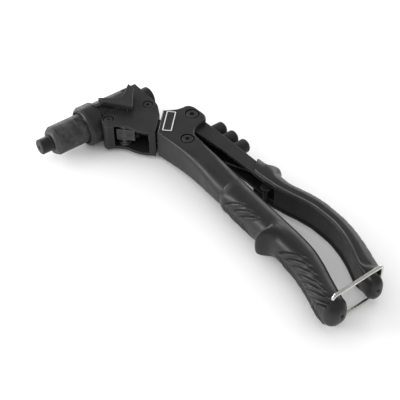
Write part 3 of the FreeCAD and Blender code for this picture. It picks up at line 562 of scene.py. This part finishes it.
def add_nosepiece():
    """The front nosepiece: a head with a shallow groove, and a shank inside the sleeve."""
    chamfer = 0.8
    groove_start, groove_end = NOSE_GROOVE
    back = NOSE_HEAD_END - 0.2
    profile = rounded([
        (6.0, MANDREL_RADIUS),
        (0.4, MANDREL_RADIUS),
        (0.0, MANDREL_RADIUS + 0.4),
        (0.0, NOSE_RADIUS - chamfer),
        (chamfer, NOSE_RADIUS),
        (groove_start, NOSE_RADIUS),
        (groove_start + 0.4, NOSE_RADIUS - NOSE_GROOVE_DEPTH),
        (groove_end - 0.4, NOSE_RADIUS - NOSE_GROOVE_DEPTH),
        (groove_end, NOSE_RADIUS),
        (back, NOSE_RADIUS),
        (back, NOSE_SHANK_RADIUS),
        (NOSE_SHANK_END, NOSE_SHANK_RADIUS - 0.6),
        (NOSE_SHANK_END, MANDREL_RADIUS),
    ], 0.2)
    make_piece("nosepiece_turned", *lathe(profile), "nosepiece")


def cut_by_flats(x, radius, angle):
    """The sleeve's radius where two spanner flats cut it."""
    if radius < SLEEVE_TAIL_RADIUS + 0.1 or not FLATS[0] <= x <= FLATS[1]:
        return radius
    facing = abs(math.sin(angle - FLATS_TURN))
    return min(radius, FLATS_HALF_WIDTH / max(facing, 0.01))


def add_sleeve():
    """The front sleeve: a stepped chamfer, two flats and a thinner tail inside the collar."""
    start, end = FLATS
    step = 0.02                     # spacing of the rings that make the flats' edge crisp
    mouth = NOSE_HEAD_END + 0.6
    shank_room = NOSE_SHANK_RADIUS + 0.1
    profile = rounded([
        (CHAMBER_START, shank_room),
        (mouth, shank_room),
        (mouth, NOSE_RADIUS + 0.4),
        (NOSE_HEAD_END, NOSE_RADIUS + 1.0),
        (NOSE_HEAD_END, SLEEVE_RADIUS - 2.8),
        (NOSE_HEAD_END + 1.2, SLEEVE_RADIUS - 1.6),
        (NOSE_HEAD_END + 3.6, SLEEVE_RADIUS),
        (start - 2 * step, SLEEVE_RADIUS),
    ], 0.2)
    for x in (start - step, start, start + step, end):
        profile.append((x, SLEEVE_RADIUS))
    profile += rounded([
        (SLEEVE_END, SLEEVE_TAIL_RADIUS + step),
        (SLEEVE_END + step, SLEEVE_TAIL_RADIUS),
        (SLEEVE_TAIL_END, SLEEVE_TAIL_RADIUS),
        (SLEEVE_TAIL_END, CHAMBER_RADIUS),
        (CHAMBER_START, CHAMBER_RADIUS),
    ], 0.3)
    make_piece("front_sleeve_turned", *lathe(profile, 288, cut_by_flats), "front_sleeve")


def add_seal():
    """The rubber ring that lies round the sleeve's tail, just behind its shoulder."""
    middle, radius = SLEEVE_END + 1.0, SLEEVE_TAIL_RADIUS + 1.05
    steps = 20
    profile = []
    for i in range(steps):
        angle = math.tau * i / steps
        profile.append((middle + SEAL_WIRE * math.cos(angle), radius + SEAL_WIRE * math.sin(angle)))
    make_piece("sleeve_seal_ring", *lathe(profile), "sleeve_seal")


def collar_notch(x, radius, angle):
    """The collar's radius, cut by the notch that the latch's nose drops into."""
    floor = COLLAR_RADIUS - NOTCH_DEPTH
    across, up = radius * math.cos(angle), radius * math.sin(angle)
    inside = NOTCH_SIDES[0] <= across <= NOTCH_SIDES[1]
    if x > COLLAR_END - NOTCH_LENGTH and up > floor and inside:
        return floor / math.sin(angle)
    return radius


def add_collar():
    """The locking collar, with a stepped front edge and a notch at the back."""
    room_end = COLLAR_LIP + 2.7
    shoulder = COLLAR_RADIUS - 1.1
    profile = rounded([
        (room_end, SEAL_ROOM),
        (COLLAR_LIP, SEAL_ROOM),
        (COLLAR_LIP, COLLAR_RADIUS - 2.3),
        (COLLAR_LIP + 1.1, shoulder),
        (COLLAR_LIP + 1.5, shoulder),
        (COLLAR_LIP + 3.0, COLLAR_RADIUS),
        (COLLAR_END - 2.0, COLLAR_RADIUS),
        (COLLAR_END - 1.9, COLLAR_RADIUS),
        (COLLAR_END - 1.2, COLLAR_RADIUS),
        (COLLAR_END, COLLAR_RADIUS - 1.0),
        (COLLAR_END, COLLAR_BORE),
        (room_end, COLLAR_BORE),
    ], 0.3)
    make_piece("lock_collar_turned", *lathe(profile, 288, collar_notch), "lock_collar")


# ---------------------------------------------------------------- latch spring

COIL_FOOT = Vector((91.5, -0.6, 14.0))      # the middle of the coil, on the barrel's flat
COIL_RADIUS, COIL_WIRE = 1.9, 0.35
COIL_PITCH, COIL_HEIGHT = 1.05, 2.0


def add_latch_spring():
    """The coil under the latch's thumb pad, with a mesh of its own."""
    steps, sides = 48, 10
    rings = []
    for i in range(steps + 1):
        turn = math.tau * COIL_HEIGHT / COIL_PITCH * i / steps
        height = COIL_WIRE + COIL_HEIGHT * i / steps
        ring = []
        for k in range(sides):
            angle = math.tau * k / sides
            reach = COIL_RADIUS + COIL_WIRE * math.cos(angle)
            spoke = Vector((reach * math.cos(turn), reach * math.sin(turn), height))
            ring.append(tuple(COIL_FOOT + spoke + Vector((0, 0, COIL_WIRE * math.sin(angle)))))
        rings.append(ring)
    spring = make_piece("latch_spring_coil", *capped(rings), "latch_spring")
    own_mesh(spring)


# ---------------------------------------------------------------- spare nosepieces

STORED = (
    # node, place along the lever, bore radius
    ("stored_nosepiece_small", -74.0, 1.0),
    ("stored_nosepiece_medium", -88.6, 1.3),
    ("stored_nosepiece_large", -103.2, 1.8),
)
STORED_RADIUS, STORED_HEAD, STORED_SHANK = 6.2, 13.4, 8.0
SEAT_X, SEAT_Y, SEAT_SLOPE = 128.2, -74.0, 0.052    # the lever's outer face, which slopes


def add_stored_nosepieces():
    """Three spare nosepieces screwed into the lever, their heads standing out along X."""
    shank_radius = NOSE_SHANK_RADIUS - 1.0
    for node, y, bore in STORED:
        seat = SEAT_X + (SEAT_Y - y) * SEAT_SLOPE
        tip = seat + STORED_HEAD
        profile = rounded([
            (seat - STORED_SHANK, bore),
            (seat - STORED_SHANK, shank_radius),
            (seat, shank_radius),
            (seat, STORED_RADIUS),
            (tip - 1.6, STORED_RADIUS),
            (tip, STORED_RADIUS - 2.2),
            (tip, bore + 0.8),
            (tip - 0.8, bore),
        ], 1.2)
        points, faces = lathe(profile, 96)
        points = [(px, py + y, pz) for px, py, pz in points]
        make_piece(node + "_turned", points, faces, node)


# ---------------------------------------------------------------- fixed grip

GRIP_STEP = 0.55            # spacing of the rings along a grip
GRIP_SEGMENTS = 144
OVAL_POWER = 0.78           # 1 is an ellipse, less is squarer
END_HOLE_RADIUS, END_HOLE_DEPTH = 1.6, 2.0
FIXED_FRONT, FIXED_DOME = -141.3, -280.0
FIXED_DOME_LENGTH = 9.4
FIXED_BLUNTNESS = 0.85      # 1 is a round end, less is blunter
FIXED_ROWS = Curves([
    # y, left, right, half height
    (-141.3, 84.0, 108.9, 12.6),
    (-144.0, 83.2, 108.6, 13.1),
    (-149.0, 82.6, 108.0, 13.6),
    (-170.0, 82.6, 107.2, 13.6),
    (-192.0, 82.4, 106.6, 13.5),
    (-216.0, 82.6, 105.9, 13.4),
    (-232.0, 81.6, 104.4, 13.2),
    (-247.0, 78.4, 100.6, 12.8),
    (-260.0, 74.6, 96.0, 12.6),
    (-272.0, 70.6, 91.8, 12.8),
    (-280.0, 69.6, 89.2, 12.4),
])
FIXED_END_HOLE = (79.6, 2.0)         # x and z of the small hole in the end
RIDGES = (
    -148.1, -157.8, -166.3,
    -212.9, -221.2, -229.5, -238.8, -246.0, -253.2, -260.8, -266.3,
)
RIDGE_RUN = 24.0            # how far a ridge runs back from the finger side to the top
RIDGE_HEIGHT, RIDGE_WIDTH, RIDGE_PLACE = 0.95, 1.6, 2.9
RIDGE_SPAN = (-4, 9)        # a ridge and its groove lie within this of the groove
GROOVE_DEPTH, GROOVE_WIDTH = 1.0, 0.8
RIDGE_REACH_FRONT, RIDGE_REACH_BACK = 68, 83        # degrees round from the finger side
FINGER_STOP, FINGER_STOP_HEIGHT = -197.0, 7.4
SWELL_PLACE, SWELL_HEIGHT, SWELL_WIDTH = -147.0, 0.8, 4.5


def ridge_height(y, turn):
    """Height of the slanted ridges, each with a groove in front of it. turn is in degrees
    round from the finger side."""
    reach = RIDGE_REACH_BACK if y < FINGER_STOP else RIDGE_REACH_FRONT
    fade = (1 - smooth_step(turn, reach - 15, reach + 5)) * smooth_step(turn, 0, 9)
    if fade <= 0:
        return 0.0
    shift = RIDGE_RUN * turn / RIDGE_REACH_BACK
    height = 0.0
    for start in RIDGES:
        behind = start - shift - y
        if RIDGE_SPAN[0] < behind < RIDGE_SPAN[1]:
            height += RIDGE_HEIGHT * bell(behind - RIDGE_PLACE, RIDGE_WIDTH)
            height -= GROOVE_DEPTH * bell(behind, GROOVE_WIDTH)
    return height * fade


def front_swell(y, turn):
    """A low swelling of the flank just behind the grip's front edge."""
    return SWELL_HEIGHT * bell(y - SWELL_PLACE, SWELL_WIDTH) * (1 - smooth_step(turn, 20, 60))


def finger_stop_height(y, turn):
    """A tall stop for the fingers: its crest slants back over the top, where it fades.
    It is steep in front and runs out slowly behind."""
    crest = FINGER_STOP - 4.0 * smooth_step(turn, 15, 80)
    behind = crest - y
    size = FINGER_STOP_HEIGHT * (1 - 0.72 * smooth_step(turn, 20, 78))
    size *= 1 - smooth_step(turn, 66, 104)
    if behind > 0:
        width = 5.2 + 3.0 * smooth_step(turn, 30, 80)
    else:
        width = 3.4 - 1.6 * smooth_step(turn, 0, 45) + 2.6 * smooth_step(turn, 60, 90)
    return size * bell(behind, width)


def oval(angle, wide, half):
    """A point on a rounded oval; angle is in radians from +X towards +Z."""
    c, s = math.cos(angle), math.sin(angle)
    x = wide * math.copysign(abs(c) ** OVAL_POWER, c)
    z = half * math.copysign(abs(s) ** OVAL_POWER, s)
    return x, z


def dimpled(point, centre):
    """Push a point along +Y if it lies inside the small round hole in a grip's end."""
    away = math.hypot(point[0] - centre[0], point[2] - centre[1])
    push = END_HOLE_DEPTH * (1 - smooth_step(away, END_HOLE_RADIUS * 0.45, END_HOLE_RADIUS))
    return point[0], point[1] + push, point[2]


def fixed_ring(y, shrink, at_y):
    """The fixed grip's section at y, drawn at at_y. Only a full section has its ridges."""
    left, right, half = FIXED_ROWS.at(y)
    middle, wide = (left + right) / 2, (right - left) / 2
    ring = []
    for k in range(GRIP_SEGMENTS):
        angle = math.tau * k / GRIP_SEGMENTS
        turn = abs(180 - math.degrees(angle))
        x, z = oval(angle, wide * shrink, half * shrink)
        raised = 0.0
        if shrink == 1:
            raised = ridge_height(y, turn)
            raised += finger_stop_height(y, turn) + front_swell(y, turn)
        ring.append((middle + x + raised * math.cos(angle), at_y, z + raised * math.sin(angle)))
    return ring


def dome_steps(bluntness, count=26):
    """(shrink, travel) pairs that round off the end of a grip."""
    steps = []
    for i in range(1, count):
        angle = math.pi / 2 * i / count
        steps.append((math.cos(angle) ** bluntness, math.sin(angle)))
    return steps


def add_fixed_grip():
    """The sleeve on the fixed handle: ridges, a finger stop and a rounded end."""
    edge_shrink = 0.93
    rings = [fixed_ring(FIXED_FRONT, edge_shrink, FIXED_FRONT)]
    count = round((FIXED_FRONT - FIXED_DOME) / GRIP_STEP)
    for i in range(count + 1):
        y = FIXED_FRONT + (FIXED_DOME - FIXED_FRONT) * i / count
        rings.append(fixed_ring(y, 1, y))
    for shrink, travel in dome_steps(FIXED_BLUNTNESS):
        ring = fixed_ring(FIXED_DOME, shrink, FIXED_DOME - FIXED_DOME_LENGTH * travel)
        rings.append([dimpled(point, FIXED_END_HOLE) for point in ring])
    make_piece("fixed_grip_sleeve", *capped(rings), "fixed_grip")


# ---------------------------------------------------------------- moving grip

MOVING_FRONT, MOVING_DOME = -129.8, -280.0
MOVING_DOME_LENGTH = 7.8
MOVING_BLUNTNESS = 0.6
FRONT_INNER = (118.0, -142.6)       # the front edge slants from here
FRONT_OUTER = (132.6, -129.8)       # to here
SLANT_END = -170.0                  # the rings are square again behind this
MOVING_ROWS = Curves([
    # y, inner side, outer side, half height
    (-129.8, 117.7, 136.2, 12.4),
    (-136.0, 117.8, 136.8, 12.4),
    (-140.6, 117.9, 138.4, 12.5),
    (-144.0, 118.1, 140.9, 12.7),
    (-147.8, 118.2, 141.9, 12.8),
    (-151.6, 118.4, 140.2, 12.8),
    (-155.0, 118.8, 137.3, 12.8),
    (-158.5, 119.1, 136.6, 12.8),
    (-166.0, 120.0, 136.7, 12.8),
    (-178.0, 122.8, 139.8, 12.8),
    (-190.0, 126.4, 143.2, 12.8),
    (-205.0, 129.2, 145.0, 12.8),
    (-220.0, 129.6, 144.9, 12.8),
    (-234.0, 127.6, 143.3, 12.8),
    (-248.0, 123.4, 140.2, 12.6),
    (-259.0, 118.6, 137.0, 12.4),
    (-268.0, 115.0, 133.8, 12.4),
    (-274.0, 113.2, 131.6, 12.4),
    (-277.4, 112.6, 130.6, 12.2),
    (-278.6, 112.5, 124.9, 12.0),
    (-280.0, 112.4, 124.6, 11.8),
])
MOVING_END_HOLE = (117.2, 2.0)      # x and z of the small hole in the end
BACK_NOTCHES = (
    -173.9, -180.7, -189.7, -198.8, -208.5, -218.9, -228.2, -237.1, -245.9, -254.5, -263.0,
)
NOTCH_CUT, NOTCH_WIDTH = 0.7, 0.8
OVAL_START, OVAL_END = -264.0, -280.0       # the section turns into an oval between these
WINDOW_BACK = -165.0        # the inner wall is open from the front edge to here
WINDOW_HALF = 8.9
WINDOW_DEPTH = 122.0        # only faces nearer than this X belong to the inner wall
WINDOW_RIM = 1.5            # thickness of the wall that shows at the window's rim
LEVER_BOX = (1.3, 12.4, 9.02)       # the lever inside the grip: front, back, half height
MOUTH_DEPTH = 8.0           # how far the grip's mouth reaches back along the lever
FRONT_STEP = 0.6            # the full section starts this far behind the front edge
LOOP_STEPS = 6              # points between two corners of the section


def grip_loop(width, half, softness):
    """Half of the section, from the inner wall over the top to the back: a lip runs along
    the inner edge. softness 0 is the full shape, 1 a plain oval."""
    wall, wall_top = 1.3, half - 3.4
    sharp = [
        (wall, 0.0),
        (wall, wall_top * 0.5),
        (wall, wall_top),
        (0.3, half - 2.8),
        (0.0, half - 1.5),
        (0.4, half - 0.4),
        (1.4, half),
        (2.3, half - 0.35),
        (3.3, half - 0.6),
        (4.6, half - 0.5),
        (0.5 * width, half - 0.4),
        (0.7 * width, half - 1.7),
        (0.9 * width, half - 5.0),
        (width, half - 9.0),
        (width, 0.0),
    ]
    points = []
    for i, (x, z) in enumerate(sharp):
        angle = math.pi * (1 - i / (len(sharp) - 1))
        ox, oz = oval(angle, width / 2, half)
        points.append((x + (ox + width / 2 - x) * softness, z + (oz - z) * softness))
    return points


def catmull(a, b, c, d, t):
    """A point between b and c on the smooth curve through a, b, c and d."""
    point = []
    for p, q, r, s in zip(a, b, c, d):
        linear = r - p
        square = 2 * p - 5 * q + 4 * r - s
        cube = 3 * q - p - 3 * r + s
        point.append(0.5 * (2 * q + linear * t + square * t * t + cube * t ** 3))
    return tuple(point)


def notch_depth(y):
    """Depth of the shallow cross notches on the grip's back."""
    return sum(NOTCH_CUT * bell(y - start, NOTCH_WIDTH) for start in BACK_NOTCHES)


def slanted(x, y):
    """Slide a point of the grip's front along Y so the front edge runs slantwise."""
    share = (x - FRONT_INNER[0]) / (FRONT_OUTER[0] - FRONT_INNER[0])
    share = min(max(share, 0.0), 1.0)
    edge = FRONT_INNER[1] + (FRONT_OUTER[1] - FRONT_INNER[1]) * share
    if y < SLANT_END:
        return y
    return SLANT_END + (y - SLANT_END) * (edge - SLANT_END) / (MOVING_FRONT - SLANT_END)


def moving_ring(y, shrink, at_y):
    """The moving grip's section at y, drawn at at_y."""
    inner, outer, half = MOVING_ROWS.at(y)
    width = outer - inner
    softness = smooth_step(y, OVAL_START, OVAL_END)
    upper = grip_loop(width, half, softness)
    lower = [(x, -z) for x, z in upper[-2:0:-1]]
    loop = upper + lower
    size = len(loop)
    ring = []
    for i in range(size):
        corners = [loop[(i + step) % size] for step in (-1, 0, 1, 2)]
        for step in range(LOOP_STEPS):
            x, z = catmull(*corners, step / LOOP_STEPS)
            back = smooth_step(x, 0.72 * width, 0.86 * width)
            x -= notch_depth(y) * back
            x = inner + (x - width / 2) * shrink + width / 2
            ring.append((x, slanted(x, at_y), z * shrink))
    return ring


def lever_mouth(ring, depth):
    """The front ring drawn in to the lever that it grips."""
    near, far, half = LEVER_BOX
    inner = MOVING_ROWS.at(MOVING_FRONT)[0]
    mouth = []
    for x, _, z in ring:
        x = min(max(x, inner + near), inner + far)
        z = min(max(z, -half), half)
        mouth.append((x, slanted(x, MOVING_FRONT) - depth, z))
    return mouth


def open_window(thing):
    """Cut the inner wall's window and give its rim some thickness."""
    work = bmesh.new()
    work.from_mesh(thing.data)
    gone = []
    for face in work.faces:
        middle = face.calc_center_median() / MM
        in_front = middle.y > WINDOW_BACK and middle.x < WINDOW_DEPTH
        if in_front and abs(middle.z) < WINDOW_HALF:
            gone.append(face)
    bmesh.ops.delete(work, geom=gone, context="FACES")
    rim = [edge for edge in work.edges if edge.is_boundary]
    inward = Vector((WINDOW_RIM * MM, 0, 0))
    inner = {}                  # each point of the rim and its copy inside the sleeve
    for edge in rim:
        for vert in edge.verts:
            if vert not in inner:
                inner[vert] = work.verts.new(vert.co + inward)
    for edge in rim:
        start, end = edge.verts
        work.faces.new((start, end, inner[end], inner[start]), edge.link_faces[0])
    bmesh.ops.recalc_face_normals(work, faces=work.faces)
    work.to_mesh(thing.data)
    work.free()


def add_moving_grip():
    """The sleeve on the lever: a slanted mouth, a window, back notches and a rounded end."""
    edge_shrink = 0.95
    front = moving_ring(MOVING_FRONT, 1, MOVING_FRONT)
    rings = [lever_mouth(front, MOUTH_DEPTH), lever_mouth(front, 0.0)]
    rings.append(moving_ring(MOVING_FRONT, edge_shrink, MOVING_FRONT))
    first = MOVING_FRONT - FRONT_STEP
    count = round((first - MOVING_DOME) / GRIP_STEP)
    for i in range(count + 1):
        y = first + (MOVING_DOME - first) * i / count
        rings.append(moving_ring(y, 1, y))
    for shrink, travel in dome_steps(MOVING_BLUNTNESS):
        ring = moving_ring(MOVING_DOME, shrink, MOVING_DOME - MOVING_DOME_LENGTH * travel)
        rings.append([dimpled(point, MOVING_END_HOLE) for point in ring])
    points, faces = skin(rings)
    size = len(rings[-1])
    faces.append(tuple(range(len(points) - size, len(points))))
    open_window(make_piece("moving_grip_sleeve", points, faces, "moving_grip"))


# ---------------------------------------------------------------- badge

BADGE_ALONG, BADGE_OFF = (102.5, 110.7), (-12.7, 12.9)
BADGE_FRAME, BADGE_BASE, BADGE_TOP = 0.9, 13.52, 14.07
BADGE_SOFT = 0.12           # softening of the frame's edges
SWIVEL_ORIGIN = 23.65       # x and y of the point that the swivel axis is measured from


def swivel_place(along, off):
    """The (x, y) place of a point given along and off the swivel axis."""
    half = math.sqrt(0.5)
    return SWIVEL_ORIGIN + (along + off) * half, SWIVEL_ORIGIN + (off - along) * half


def badge_ring(inset, corner, z):
    """A rectangle with round corners, set in from the badge's edge."""
    steps = 6
    (low, high), (left, right) = BADGE_ALONG, BADGE_OFF
    ring = []
    for turn, (along, off) in enumerate([(high, right), (low, right), (low, left), (high, left)]):
        along += (corner + inset) * (1 if along == low else -1)
        off += (corner + inset) * (1 if off == left else -1)
        for step in range(steps + 1):
            angle = math.pi / 2 * (turn + step / steps)
            place = swivel_place(along + corner * math.cos(angle), off + corner * math.sin(angle))
            ring.append((*place, z))
    return ring


def add_badge():
    """A raised frame round a sunken plain field."""
    soft, inner = BADGE_SOFT, BADGE_FRAME
    rings = [
        badge_ring(0.0, 0.8, BADGE_BASE),
        badge_ring(0.0, 0.8, BADGE_TOP - soft),
        badge_ring(soft, 0.7, BADGE_TOP),
        badge_ring(inner - soft, 0.3, BADGE_TOP),
        badge_ring(inner, 0.25, BADGE_TOP - soft),
        badge_ring(inner, 0.25, BADGE_FIELD),
    ]
    make_piece("blank_badge_plate", *capped(rings), "blank_badge")


paint_cad_nodes()
add_nosepiece()
add_sleeve()
add_seal()
add_collar()
add_latch_spring()
add_stored_nosepieces()
add_fixed_grip()
add_moving_grip()
add_badge()
add_floor()
add_lights()
add_camera()
